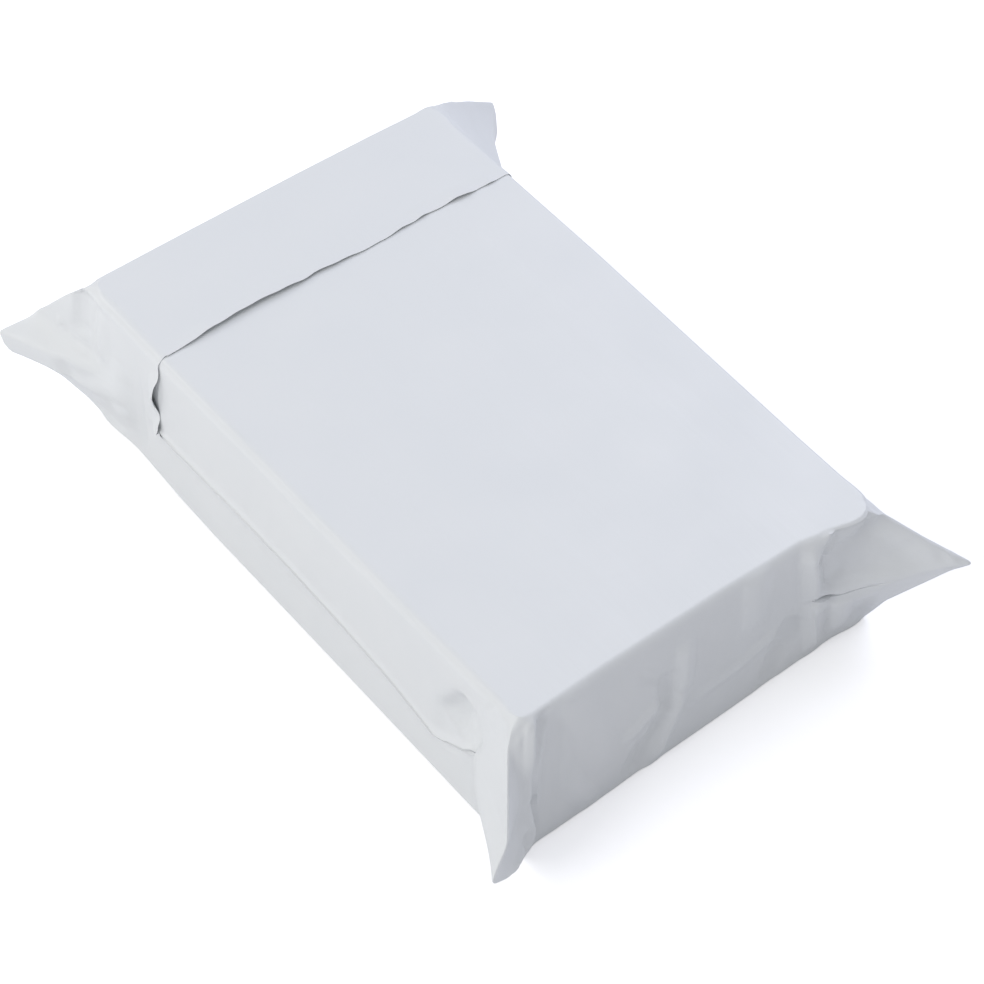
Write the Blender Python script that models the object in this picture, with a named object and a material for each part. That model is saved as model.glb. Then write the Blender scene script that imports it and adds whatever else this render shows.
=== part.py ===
"""A sealed white poly mailer packed round a flat carton, lying on its back panel.

The bag is one folded and welded piece of film round its contents, so it is one
closed solid. It is lofted through level outlines of the packed bag. Each
outline is a rectangle with a spike at each corner, where the spare corner film
stands out as a folded ear. The adhesive flap is a lip that folds back on itself
in the same mesh, so that its free edge lifts off the film below it.

Metres, +Z up. The flap is at the +Y end, and the origin is on the ground under
the middle of the bag's outline.
"""

import math
from dataclasses import dataclass

import bmesh
import bpy
import numpy as np

# The packed body, over the film.
BODY_WIDTH = 0.196
BODY_LENGTH = 0.311
BODY_HEIGHT = 0.0847
TOP_RADIUS = 0.0042
GROUND_RADIUS = 0.0025

# The side weld: a fin of doubled film that is laid down against the wall.
FIN_WIDTH = 0.0115
FIN_THICKNESS = 0.0011
FIN_STEP = 0.0012
FIN_FADE = 0.012

# The flap, from the back edge of the top to its free edge.
FLAP_COVER = 0.0575
FLAP_THICKNESS = 0.0008
FLAP_LIFT = 0.0024
FLAP_STUCK_GAP = 0.0004
FLAP_POCKET = 0.0045
FLAP_BEND = 0.0002
FLAP_SKEW = 0.0095
FLAP_SKEW_DEPTH = 0.055
FLAP_WAVE = 0.0012

# How far the film stands off the contents.
TOP_CROWN = 0.0012
PLEAT_HEIGHT = 0.0024
PLEAT_HALF_WIDTH = 0.0095

# The outer fold of an ear: its thickness, how far its two halves stand open
# behind it, how softly it turns, and the reach at which it is a full fold.
FOLD_THICKNESS = 0.0010
FOLD_OPENNESS = 0.6
FOLD_SLACK = 0.0012
FULL_FOLD = 0.012
HALF_HANDLE = 0.36

# How finely the solid is divided.
END_STEPS = 28
FRONT_STEPS = 18
BEHIND_STEPS = 3
EAR_STEPS = 6
LOW_STEPS = 4
FIN_STEPS = 2
HIGH_STEPS = 8
ROUND_STEPS = 3
LIP_STEPS = 4
PLAIN_STEP = 0.001

FILM_COLOUR = (0.71, 0.73, 0.78, 1.0)
FILM_ROUGHNESS = 0.38


@dataclass(frozen=True)
class Station:
    """Where an ear of folded film is at one height.

    out_x and out_y place its outer fold from the body's corner. side_root and
    end_root are how far along the two walls from that corner the film leaves
    the contents. A pull of 1 leaves that half of the ear straight, less draws
    it in to a hollow, below 0 it first tucks in behind the wall, and more than
    1 bulges it out.
    """

    height: float
    out_x: float
    out_y: float
    side_root: float
    end_root: float
    side_pull: float = 1.0
    end_pull: float = 1.0


@dataclass(frozen=True)
class Ear:
    """The folded film at one corner of the packed bag.

    side_x and side_y say which corner it is. The stations run from the ground
    up, and the tip is at tip_height.
    """

    side_x: int
    side_y: int
    tip_height: float
    stations: tuple

    @property
    def corner(self):
        """The sharp corner of the body's outline."""
        return np.array([self.side_x * BODY_WIDTH / 2, self.side_y * BODY_LENGTH / 2])

    def at(self, height):
        """The ear's station at any height."""
        rows = np.array([(one.height, one.out_x, one.out_y, one.side_root, one.end_root,
                          one.side_pull, one.end_pull) for one in self.stations])
        places = height + FOLD_SLACK * np.linspace(-1, 1, 5)
        values = [float(np.interp(places, rows[:, 0], column).mean()) for column in rows.T[1:]]
        return Station(height, *values)


NEAR_LEFT = Ear(-1, -1, 0.031, (
    Station(0.0000, 0.0010, 0.0035, 0.0265, 0.0065),
    Station(0.0070, 0.0090, 0.0115, 0.0270, 0.0056, 1.20, 1.5),
    Station(0.0170, 0.0205, 0.0175, 0.0270, 0.0050, 1.35, 1.5),
    Station(0.0260, 0.0295, 0.0211, 0.0270, 0.0048, 1.45, 0.5),
    Station(0.0310, 0.0312, 0.0221, 0.0270, 0.0048, 1.45, -0.5),
    Station(0.0350, 0.0286, 0.0211, 0.0270, 0.0048, 1.45, -1.2),
    Station(0.0430, 0.0206, 0.0183, 0.0270, 0.0052, 1.40, -1.7),
    Station(0.0580, 0.0132, 0.0095, 0.0270, 0.0057, 1.30, -1.7),
    Station(0.0740, 0.0026, -0.0037, 0.0265, 0.0062, 1.10, -1.3),
    Station(0.0780, -0.0002, -0.0037, 0.0255, 0.0065, 1.05, -0.6),
    Station(0.0820, -0.0030, -0.0045, 0.0205, 0.0075, 1.00, 0.6),
    Station(0.0847, -0.0055, -0.0070, 0.0165, 0.0095)))
NEAR_RIGHT = Ear(1, -1, 0.049, (
    Station(0.0000, 0.0010, -0.0010, 0.0225, 0.0200),
    Station(0.0030, 0.0035, 0.0010, 0.0225, 0.0220),
    Station(0.0160, 0.0055, 0.0070, 0.0255, 0.0320, 0.80, 0.90),
    Station(0.0440, 0.0230, 0.0270, 0.0285, 0.0360, 0.50, 0.90),
    Station(0.0495, 0.0270, 0.0319, 0.0285, 0.0380, 0.50, 0.90),
    Station(0.0620, 0.0135, 0.0165, 0.0265, 0.0380, 0.60, 0.92),
    Station(0.0755, 0.0002, 0.0029, 0.0255, 0.0370, 0.90, 0.95),
    Station(0.0775, -0.0020, 0.0037, 0.0245, 0.0360, 0.95, 0.95),
    Station(0.0800, -0.0050, 0.0044, 0.0235, 0.0350, 1.0, 0.9),
    Station(0.0825, -0.0075, 0.0037, 0.0215, 0.0340, 1.0, 0.8),
    Station(0.0840, -0.0090, 0.0027, 0.0205, 0.0340, 1.0, 0.7),
    Station(0.0847, -0.0105, 0.0010, 0.0195, 0.0340, 1.0, 0.6)))
BACK_RIGHT = Ear(1, 1, 0.055, (
    Station(0.0000, 0.0030, -0.0035, 0.0435, 0.0240),
    Station(0.0200, 0.0170, -0.0055, 0.0515, 0.0280, 1.0, 0.9),
    Station(0.0420, 0.0374, -0.0023, 0.0575, 0.0320, 1.4, 0.8),
    Station(0.0500, 0.0410, 0.0035, 0.0575, 0.0340, 1.4, 0.7),
    Station(0.0550, 0.0414, 0.0061, 0.0575, 0.0340, 1.4, 0.7),
    Station(0.0680, 0.0245, 0.0027, 0.0555, 0.0320, 1.35, 0.7),
    Station(0.0800, 0.0065, -0.0007, 0.0495, 0.0180, 1.0, 0.9),
    Station(0.0847, -0.0040, -0.0040, 0.0275, 0.0100)))
BACK_LEFT = Ear(-1, 1, 0.036, (
    Station(0.0000, 0.0006, 0.0003, 0.0295, 0.0200),
    Station(0.0080, 0.0035, 0.0060, 0.0375, 0.0260, 0.90, 0.9),
    Station(0.0180, 0.0096, 0.0170, 0.0405, 0.0300, 0.80, 0.8),
    Station(0.0245, 0.0170, 0.0285, 0.0405, 0.0320, 0.80, 0.8),
    Station(0.0270, 0.0238, 0.0368, 0.0405, 0.0320, 0.80, 0.8),
    Station(0.0310, 0.0252, 0.0400, 0.0405, 0.0320, 0.80, 0.8),
    Station(0.0360, 0.0254, 0.0425, 0.0405, 0.0320, 0.80, 0.8),
    Station(0.0410, 0.0115, 0.0355, 0.0405, 0.0320, 0.85, 0.9),
    Station(0.0450, 0.0070, 0.0345, 0.0405, 0.0320, 0.85, 1.0),
    Station(0.0500, 0.0055, 0.0310, 0.0405, 0.0320, 0.85, 1.0),
    Station(0.0660, 0.0015, 0.0175, 0.0385, 0.0300, 0.90, 1.0),
    Station(0.0800, -0.0005, 0.0045, 0.0295, 0.0200),
    Station(0.0847, -0.0055, -0.0020, 0.0155, 0.0140)))

# How far the slack film of each wall is out at its foot and at its top, with the
# places along the wall as shares of the body's width or length.
NEAR_FOOT = ((-0.5, 0.0035), (-0.44, 0.0033), (-0.22, 0.0025), (0.07, 0.0016), (0.31, 0.0004), (0.5, -0.0005))
NEAR_TOP = ((-0.5, -0.0009), (-0.27, -0.0017), (0.06, -0.0015), (0.27, -0.0004), (0.33, 0.0019), (0.5, 0.0009))
BACK_FOOT = ((-0.5, 0.0), (0.5, 0.0))
BACK_TOP = ((-0.5, 0.0027), (-0.43, 0.0034), (-0.20, 0.0031), (0.10, 0.0023), (0.31, 0.0013), (0.5, -0.0003))
LEFT_FOOT = ((-0.5, 0.0032), (-0.19, 0.0029), (0.19, 0.0028), (0.29, 0.0022), (0.37, 0.0010), (0.45, 0.0))
LEFT_TOP = ((-0.5, 0.0), (0.5, 0.0))
RIGHT_FOOT = ((-0.5, 0.0), (0.5, 0.0))
RIGHT_TOP = ((-0.5, -0.0038), (-0.35, -0.0037), (-0.14, -0.0025), (0.09, -0.0011), (0.30, -0.0010), (0.5, 0.0))

# The free cut edge of each side weld: shares of the body's length, with heights.
LEFT_SEAM = ((-0.5, 0.034), (-0.40, 0.033), (-0.31, 0.0215), (-0.21, 0.028),
             (0.03, 0.032), (0.35, 0.0304), (0.5, 0.036))
RIGHT_SEAM = ((-0.5, 0.050), (-0.30, 0.055), (-0.05, 0.052), (0.20, 0.056), (0.5, 0.054))

# Soft upright pleats of the end walls: place across the wall and lean to the
# right, both as shares of the body's width, and strength.
NEAR_PLEATS = ((-0.20, 0.14, 0.3), (0.02, -0.16, 0.4), (0.315, -0.04, 1.0))
BACK_PLEATS = ((-0.27, -0.08, 0.8), (0.04, 0.14, 0.5), (0.24, -0.08, 0.7))

# Where the flap's free edge is open: middle and half width as shares of the
# body's width from the middle of the top, round over the sides, and strength.
FLAP_OPENINGS = ((-0.24, 0.27, 1.0), (0.20, 0.12, 0.5), (0.43, 0.08, 0.4),
                 (-0.60, 0.07, 1.1), (0.59, 0.07, 0.8))


def smooth(value):
    """An S-curve from 0 to 1."""
    value = min(1.0, max(0.0, value))
    return value * value * (3 - 2 * value)


def bump(distance, half_width):
    """A rounded hump of height 1 that ends at half_width."""
    return smooth(1 - abs(distance) / half_width)


def blend(start, end, at):
    """The point a share of the way from start to end."""
    return start + (end - start) * at


def seam_height(side_x, y):
    """The height of the weld's free edge along a side wall."""
    knots = LEFT_SEAM if side_x < 0 else RIGHT_SEAM
    share = y / BODY_LENGTH
    for (first, low), (second, high) in zip(knots, knots[1:]):
        if share <= second:
            return blend(low, high, smooth((share - first) / (second - first)))
    return knots[-1][1]


def edge_place(girth):
    """The y of the flap's free edge at a distance round from the middle of the top."""
    top = BODY_LENGTH / 2 - FLAP_COVER
    over = max(0.0, abs(girth) - BODY_WIDTH / 2)
    turn = 9 * girth / BODY_WIDTH
    wave = FLAP_WAVE * (math.sin(turn + 0.6) + 0.5 * math.sin(2 * turn))
    return top + FLAP_SKEW * smooth(over / FLAP_SKEW_DEPTH) + wave


def edge_gap(girth):
    """How far the flap's free edge stands off the film below it."""
    share = girth / BODY_WIDTH
    opened = sum(bump(share - middle, half) * strength for middle, half, strength in FLAP_OPENINGS)
    return FLAP_STUCK_GAP + FLAP_LIFT * opened


@dataclass
class Level:
    """One level outline: where it is between the ground, the welds and the top."""

    kind: str
    at: float

    def height(self, tip):
        """The height at a place where the weld's free edge is at the given height."""
        low = GROUND_RADIUS
        high = BODY_HEIGHT - TOP_RADIUS
        if self.kind == "ground":
            return low * (1 - math.cos(self.at * math.pi / 2))
        if self.kind == "low":
            return blend(low, tip - FIN_STEP, self.at)
        if self.kind == "fin":
            return tip + FIN_WIDTH * self.at
        if self.kind == "high":
            return blend(tip + FIN_WIDTH, high, self.at)
        return high + TOP_RADIUS * math.sin(self.at * math.pi / 2)

    @property
    def inset(self):
        """How far the rounded top and bottom edges pull the outline in."""
        if self.kind == "ground":
            return GROUND_RADIUS * (1 - math.sin(self.at * math.pi / 2))
        if self.kind == "top":
            return TOP_RADIUS * (1 - math.cos(self.at * math.pi / 2))
        return 0.0

    @property
    def fin(self):
        """How thick the laid weld is here, as a share."""
        return 1 - self.at if self.kind == "fin" else 0.0

    @property
    def tilt(self):
        """The angle of the surface's normal above the horizontal."""
        return self.at * math.pi / 2 if self.kind == "top" else 0.0


def levels():
    """Every level, from the ground up."""
    rows = [Level("ground", step / ROUND_STEPS) for step in range(ROUND_STEPS)]
    rows += [Level("low", step / LOW_STEPS) for step in range(LOW_STEPS + 1)]
    rows += [Level("fin", step / FIN_STEPS) for step in range(FIN_STEPS + 1)]
    rows += [Level("high", step / HIGH_STEPS) for step in range(1, HIGH_STEPS + 1)]
    rows += [Level("top", step / ROUND_STEPS) for step in range(1, ROUND_STEPS + 1)]
    return rows


def wall_out(foot, top, place, height):
    """How far out the film of a wall is, at a share of its length and a height."""
    low, high = (np.interp(place, *np.array(knots).T) for knots in (foot, top))
    return float(blend(low, high, height / BODY_HEIGHT))


def side_x_at(side_x, level, y, height):
    """The x of a side wall's film."""
    foot, top = (LEFT_FOOT, LEFT_TOP) if side_x < 0 else (RIGHT_FOOT, RIGHT_TOP)
    out = wall_out(foot, top, y / BODY_LENGTH, height)
    return side_x * (BODY_WIDTH / 2 - level.inset + out)


def end_y_at(side_y, level, x, height):
    """The y of an end wall's film."""
    foot, top = (NEAR_FOOT, NEAR_TOP) if side_y < 0 else (BACK_FOOT, BACK_TOP)
    out = wall_out(foot, top, x / BODY_WIDTH, height)
    return side_y * (BODY_LENGTH / 2 - level.inset + out)


def ear_roots(ear, level):
    """Where an ear's film leaves the side wall and the end wall at a level, in plan."""
    height = level.height(ear.tip_height)
    here = ear.at(height)
    side_y = ear.side_y * (BODY_LENGTH / 2 - here.side_root)
    end_x = ear.side_x * (BODY_WIDTH / 2 - here.end_root)
    side = np.array([side_x_at(ear.side_x, level, side_y, height), side_y])
    end = np.array([end_x, end_y_at(ear.side_y, level, end_x, height)])
    return side, end


def ear_fold(ear, level):
    """An ear's outer fold at a level: its place in plan, the direction from the
    body out to it, and how much of a fold it is, from 0 to 1."""
    here = ear.at(level.height(ear.tip_height))
    sides = np.array([ear.side_x, ear.side_y])
    reach = sides * np.array([here.out_x, here.out_y])
    slant = sides / math.sqrt(2)
    length = float(np.linalg.norm(reach))
    axis = blend(slant, reach / max(length, FOLD_THICKNESS), smooth(length / FULL_FOLD))
    axis /= np.linalg.norm(axis)
    folded = smooth((reach @ axis + FOLD_THICKNESS) / FULL_FOLD)
    return ear.corner + reach, axis, folded


def ear_half(ear, level, along_end):
    """Points in plan from beside an ear's root on one wall to its outer fold."""
    side_root, end_root = ear_roots(ear, level)
    root, other = (end_root, side_root) if along_end else (side_root, end_root)
    fold, axis, folded = ear_fold(ear, level)
    beside = np.array([-axis[1], axis[0]])
    beside = beside if beside @ (root - other) > 0 else -beside
    end = fold + beside * FOLD_THICKNESS * folded
    length = float(np.linalg.norm(end - root))
    chord = (end - root) / length
    here = ear.at(level.height(ear.tip_height))
    pull = here.end_pull if along_end else here.side_pull
    wall = np.array([ear.side_x, 0.0]) if along_end else np.array([0.0, ear.side_y])
    leave = blend(wall, chord, pull * folded)
    plain = (root - other) / np.linalg.norm(root - other)
    arrive = blend(plain, blend(-axis, -chord, FOLD_OPENNESS), folded)
    handle = length * HALF_HANDLE
    leave *= handle / np.linalg.norm(leave)
    arrive *= handle / np.linalg.norm(arrive)
    points = []
    for step in range(1, EAR_STEPS + 1):
        at = step / EAR_STEPS
        back = 1 - at
        points.append(back ** 3 * root + 3 * back ** 2 * at * (root + leave)
                      + 3 * back * at ** 2 * (end + arrive) + at ** 3 * end)
    return points


def lip(girth, above_weld):
    """The flap's cut edge in section, as (along, off the film) pairs.

    Above the weld the flap's edge is free: the section runs in under the flap,
    back out along its underside, round the cut edge and back over it. Below
    the weld there is no flap, and the section is a plain line.
    """
    if not above_weld:
        return [(PLAIN_STEP * step, 0.0) for step in range(-2, 3)]
    gap = edge_gap(girth)
    return [
        (FLAP_POCKET, 0.0),
        (FLAP_POCKET - FLAP_BEND, FLAP_STUCK_GAP),
        (0.0, gap),
        (-FLAP_BEND, gap + FLAP_THICKNESS),
        (FLAP_POCKET, gap / 3 + FLAP_THICKNESS),
    ]


def side_rows(side_x, level):
    """The plan and height of one side wall's points at a level, near to back."""
    near, back = (NEAR_LEFT, BACK_LEFT) if side_x < 0 else (NEAR_RIGHT, BACK_RIGHT)
    ends = [ear_roots(ear, level)[0][1] for ear in (near, back)]
    middle = level.height(seam_height(side_x, BODY_LENGTH / 2 - FLAP_COVER))
    girth = side_x * (BODY_WIDTH / 2 + BODY_HEIGHT - middle)
    above_weld = level.kind in ("high", "top") or level.kind == "fin" and level.at == 1
    edge = min(edge_place(girth), ends[1] - 2 * FLAP_POCKET)
    section = lip(girth, above_weld)
    front_end = edge + section[0][0]
    places = [(blend(ends[0], front_end, step / FRONT_STEPS), 0.0) for step in range(FRONT_STEPS)]
    places += [(edge + along, off) for along, off in section]
    last_y, last_off = places[-1]
    for step in range(1, BEHIND_STEPS + 1):
        at = step / BEHIND_STEPS
        places.append((blend(last_y, ends[1], at), last_off * (1 - at)))
    points = []
    for y, off in places:
        fade = smooth(min(y - ends[0], ends[1] - y) / FIN_FADE)
        out = off + FIN_THICKNESS * level.fin * fade
        z = level.height(seam_height(side_x, y))
        x = side_x_at(side_x, level, y, z) + side_x * out * math.cos(level.tilt)
        z += out * math.sin(level.tilt)
        points.append((x, y, z))
    return points


def end_columns(side_y, level):
    """One end wall's points at a level, from left to right."""
    left, right = (NEAR_LEFT, NEAR_RIGHT) if side_y < 0 else (BACK_LEFT, BACK_RIGHT)
    pleats = NEAR_PLEATS if side_y < 0 else BACK_PLEATS
    ends = [ear_roots(ear, level)[1][0] for ear in (left, right)]
    points = []
    for step in range(END_STEPS + 1):
        at = step / END_STEPS
        x = blend(ends[0], ends[1], at)
        z = level.height(blend(left.tip_height, right.tip_height, at))
        up = z / BODY_HEIGHT
        strength = math.sin(math.pi * up) ** 0.7 * smooth(at * 8) * smooth((1 - at) * 8)
        out = 0.0
        for middle, lean, pleat in pleats:
            centre = BODY_WIDTH * (middle + lean * (up - 0.5))
            out += pleat * bump(x - centre, PLEAT_HALF_WIDTH)
        out *= PLEAT_HEIGHT * strength
        points.append((x, end_y_at(side_y, level, x, z) + side_y * out, z))
    return points


def ear_points(ear, level):
    """An ear's points at a level: from the side wall, over its edge, to the end wall."""
    seam = seam_height(ear.side_x, ear_roots(ear, level)[0][1])
    height = level.height(ear.tip_height)
    fold, axis, folded = ear_fold(ear, level)
    from_side = ear_half(ear, level, along_end=False)
    from_end = ear_half(ear, level, along_end=True)
    points = []
    for step, (x, y) in enumerate(from_side, 1):
        points.append((x, y, level.height(blend(seam, ear.tip_height, smooth(step / EAR_STEPS)))))
    points.append((*(fold + axis * FOLD_THICKNESS * folded), height))
    for x, y in reversed(from_end):
        points.append((x, y, height))
    return points


def outline(level):
    """A whole level outline, from the near left ear round by the near end wall."""
    ring = ear_points(NEAR_LEFT, level)
    ring += end_columns(-1, level)
    ring += ear_points(NEAR_RIGHT, level)[::-1]
    ring += side_rows(1, level)
    ring += ear_points(BACK_RIGHT, level)
    ring += end_columns(1, level)[::-1]
    ring += ear_points(BACK_LEFT, level)[::-1]
    ring += side_rows(-1, level)[::-1]
    return ring


def top_grid(ring):
    """The top panel between the last outline's four sides, as rows of points.

    The rows go from the near end to the back one. The first and last row and
    column are the outline itself.
    """
    across = END_STEPS + 2 * (EAR_STEPS + 1)
    along = FRONT_STEPS + LIP_STEPS + BEHIND_STEPS + 2 * (EAR_STEPS + 1)
    start = EAR_STEPS
    count = len(ring)
    near = [ring[(start + step) % count] for step in range(across + 1)]
    right = [ring[(start + across + step) % count] for step in range(along + 1)]
    back = [ring[(start + 2 * across + along - step) % count] for step in range(across + 1)]
    left = [ring[(start - step) % count] for step in range(along + 1)]
    first_lip = EAR_STEPS + 1 + FRONT_STEPS
    near, right, back, left = (np.array(side) for side in (near, right, back, left))
    grid = np.zeros((along + 1, across + 1, 3))
    for row in range(along + 1):
        v = row / along
        for column in range(across + 1):
            u = column / across
            mixed = (blend(near[column], back[column], v) + blend(left[row], right[row], u)
                     - blend(blend(near[0], near[-1], u), blend(back[0], back[-1], u), v))
            grid[row, column] = mixed
    last_lip = first_lip + LIP_STEPS
    for column in range(1, across):
        girth = grid[first_lip, column, 0]
        edge = edge_place(girth)
        section = lip(girth, above_weld=True)
        shift = edge + section[0][0] - grid[first_lip, column, 1]
        for row in range(1, along):
            x, y, z = grid[row, column]
            rim = min(1.0, 4 * min(row / along, 1 - row / along, column / across, 1 - column / across))
            crown = TOP_CROWN * smooth(rim)
            off = 0.0
            if row < first_lip:
                y += shift * smooth(row / first_lip)
            elif row <= last_lip:
                y = edge + section[row - first_lip][0]
                off = section[row - first_lip][1]
            else:
                at = (row - last_lip) / (along - last_lip)
                y += shift * (1 - at)
                off = section[-1][1] * (1 - at)
            grid[row, column] = (x, y, BODY_HEIGHT + crown + off)
    return grid


def build_mesh():
    """The whole bag as one closed mesh."""
    shape = bmesh.new()
    rings = [[shape.verts.new(point) for point in outline(level)] for level in levels()]
    count = len(rings[0])
    for low, high in zip(rings, rings[1:]):
        for index in range(count):
            after = (index + 1) % count
            shape.faces.new((low[index], low[after], high[after], high[index]))
    shape.faces.new(rings[0][::-1])
    grid = top_grid([tuple(vert.co) for vert in rings[-1]])
    rows, columns = grid.shape[0] - 1, grid.shape[1] - 1
    cells = {}
    for row in range(rows + 1):
        for column in range(columns + 1):
            if row == 0:
                index = EAR_STEPS + column
            elif column == columns:
                index = EAR_STEPS + columns + row
            elif row == rows:
                index = EAR_STEPS + 2 * columns + rows - column
            elif column == 0:
                index = EAR_STEPS - row
            else:
                cells[row, column] = shape.verts.new(grid[row, column])
                continue
            cells[row, column] = rings[-1][index % count]
    for row in range(rows):
        for column in range(columns):
            shape.faces.new((cells[row, column], cells[row, column + 1],
                             cells[row + 1, column + 1], cells[row + 1, column]))
    bmesh.ops.recalc_face_normals(shape, faces=shape.faces)
    mesh = bpy.data.meshes.new("mailer_bag")
    shape.to_mesh(mesh)
    shape.free()
    return mesh


def film_material():
    """White film with a soft sheen."""
    material = bpy.data.materials.new("white_film")
    material.use_nodes = True
    shader = material.node_tree.nodes["Principled BSDF"]
    shader.inputs["Base Color"].default_value = FILM_COLOUR
    shader.inputs["Roughness"].default_value = FILM_ROUGHNESS
    return material


def main():
    """Clears the scene and builds the bag."""
    for item in list(bpy.data.objects):
        bpy.data.objects.remove(item, do_unlink=True)
    mesh = build_mesh()
    mesh.materials.append(film_material())
    bag = bpy.data.objects.new("mailer_bag", mesh)
    bpy.context.scene.collection.objects.link(bag)


main()
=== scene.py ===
"""The looks of a sealed white poly mailer that is packed round a flat carton.

The pouch is one piece of folded and welded film, so it is one piece here too.
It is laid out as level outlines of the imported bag, with an ear of spare film at
each corner, the laid fin of each side weld, and the free edge of the flap. Then
it is creased where the film creases, and dressed as co-extruded film.

Metres, +Z up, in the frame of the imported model: the flap is at the +Y end.
"""

from __future__ import annotations

import logging
import math
from dataclasses import dataclass, field
from enum import Enum
from typing import Any

import bmesh
import bpy
import numpy as np
from mathutils import Matrix, Vector

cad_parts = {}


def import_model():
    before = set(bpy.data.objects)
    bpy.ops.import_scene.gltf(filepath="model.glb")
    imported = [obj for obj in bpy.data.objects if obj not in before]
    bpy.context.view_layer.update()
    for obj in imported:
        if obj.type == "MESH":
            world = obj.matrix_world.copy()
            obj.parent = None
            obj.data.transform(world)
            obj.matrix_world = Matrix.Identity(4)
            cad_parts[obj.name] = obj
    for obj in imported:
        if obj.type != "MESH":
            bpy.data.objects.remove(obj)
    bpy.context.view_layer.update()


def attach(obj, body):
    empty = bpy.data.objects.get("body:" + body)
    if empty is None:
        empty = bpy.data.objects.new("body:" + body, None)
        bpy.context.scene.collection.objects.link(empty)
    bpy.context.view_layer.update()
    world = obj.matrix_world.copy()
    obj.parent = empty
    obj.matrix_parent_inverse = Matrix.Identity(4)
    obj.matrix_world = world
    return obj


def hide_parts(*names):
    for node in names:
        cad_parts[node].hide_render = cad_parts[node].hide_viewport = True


LOG = logging.getLogger("mailer")
Knots = tuple[tuple[float, ...], ...]
MM = 0.001
# How far below its fold line a level outline that ends under it stays.
STEP = 0.0004
# Knots are rounded over this many millimetres on each side, with so many readings.
KNOT_REACH = 1.2
KNOT_READINGS = 5
# The outer fold's path is rounded with so many readings.
PATH_READINGS = 7
TINY = 1e-12


class Wall(Enum):
    """Which of the two walls beside a corner, or which end of the bag."""

    SIDE = "side"
    END = "end"


class Band(Enum):
    """The stretches of a wall from the ground up."""

    GROUND = "ground"
    LOW = "low"
    FIN = "fin"
    HIGH = "high"
    TOP = "top"


def smooth(value: Any) -> Any:
    """An S-curve from 0 to 1, of a number or an array."""
    held = np.clip(value, 0.0, 1.0)
    return held * held * (3 - 2 * held)


def blend(start: Any, end: Any, at: Any) -> Any:
    """The value a share of the way from start to end."""
    return start + (end - start) * at


def along(knots: Knots, place: Any, column: int = 1) -> Any:
    """A value in metres between knots in millimetres.

    Args:
        knots: Rows of a place and its values, in order.
        place: Where to read, in metres.
        column: Which value of a row.

    Returns:
        The value, straight between each two knots and rounded a little at them.
    """
    rows = np.array(knots, float)
    spread = np.linspace(-KNOT_REACH, KNOT_REACH, KNOT_READINGS)
    places = np.asarray(place, float)[..., None] / MM + spread
    return np.interp(places, rows[:, 0], rows[:, column]).mean(-1) * MM


def unit(vector: np.ndarray) -> np.ndarray:
    """The vector at length 1, or as it is where it has no length."""
    length = np.linalg.norm(vector)
    return vector / length if length > TINY else vector


@dataclass(frozen=True)
class Station:
    """Where an ear of spare film is at one height, in millimetres.

    fold is the place of its outer fold in plan. side_root is the y where its
    film leaves the side wall, and end_root the x where it leaves the end wall.
    A pull of 0 draws that half of the ear in to a hollow, 1 leaves it straight
    and more bulges it out. Below 0 it first tucks in behind the wall.
    """

    height: float
    fold: tuple[float, float]
    side_root: float
    end_root: float
    side_pull: float = 1.0
    end_pull: float = 1.0


@dataclass(frozen=True)
class Ear:
    """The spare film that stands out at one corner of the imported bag.

    tip_height is in metres. stations run from the top down. slack rounds the
    path of the outer fold off, thickness is that of the flattened fold, and
    openness is how far its two halves stand apart there, from 0 to 1.
    """

    side_x: int
    side_y: int
    tip_height: float
    stations: tuple[Station, ...]
    slack: float = 0.0012
    thickness: float = 0.0006
    openness: float = 0.5

    def at(self, z: float) -> Station:
        """The station at any height, in metres."""
        rows = np.array([[one.height, *one.fold, one.side_root, one.end_root, one.side_pull, one.end_pull]
                         for one in self.stations])[::-1]
        places = z / MM + np.linspace(-1, 1, PATH_READINGS) * self.slack / MM
        values = [float(np.interp(places, rows[:, 0], column).mean()) for column in rows.T[1:]]
        return Station(z, (values[0] * MM, values[1] * MM), values[2] * MM, values[3] * MM, *values[4:])


@dataclass(frozen=True)
class Crease:
    """A fold line that is pressed into the film.

    It runs from start to end, in millimetres in the bag's frame. The film
    stands out along it by height, or in if that is below 0, and is back at its
    own level at width on each side. A sharp of 1 is a knife fold, and a crease
    marked rim runs on over the top edge. The last four say how it fades: how
    blunt even a knife fold is, how fast the film falls back beside the line,
    and how fast the crease grows from the share that it has at its two ends.
    """

    start: tuple[float, float, float]
    end: tuple[float, float, float]
    width: float
    height: float
    sharp: float = 0.7
    rim: bool = False
    bluntest: float = 1.02
    skirt: float = 2.2
    end_ramp: float = 3.2
    end_share: float = 0.25

    def lift(self, points: np.ndarray) -> np.ndarray:
        """How far the crease moves the film.

        Args:
            points: The film's points.

        Returns:
            The distance out for each point, in metres.
        """
        start, end = np.array(self.start) * MM, np.array(self.end) * MM
        run = end - start
        at = np.clip((points - start) @ run / (run @ run), 0, 1)
        away = np.linalg.norm(points - (start + at[:, None] * run), axis=1) / (self.width * MM)
        blunt = (self.bluntest - self.sharp) / 2
        peak = 1 - np.clip(np.sqrt(away ** 2 + blunt ** 2) - blunt, 0, 1)
        ends = smooth(np.minimum(at, 1 - at) * self.end_ramp + self.end_share)
        return self.height * MM * peak * smooth(self.skirt * (1 - away)) * ends


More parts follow.
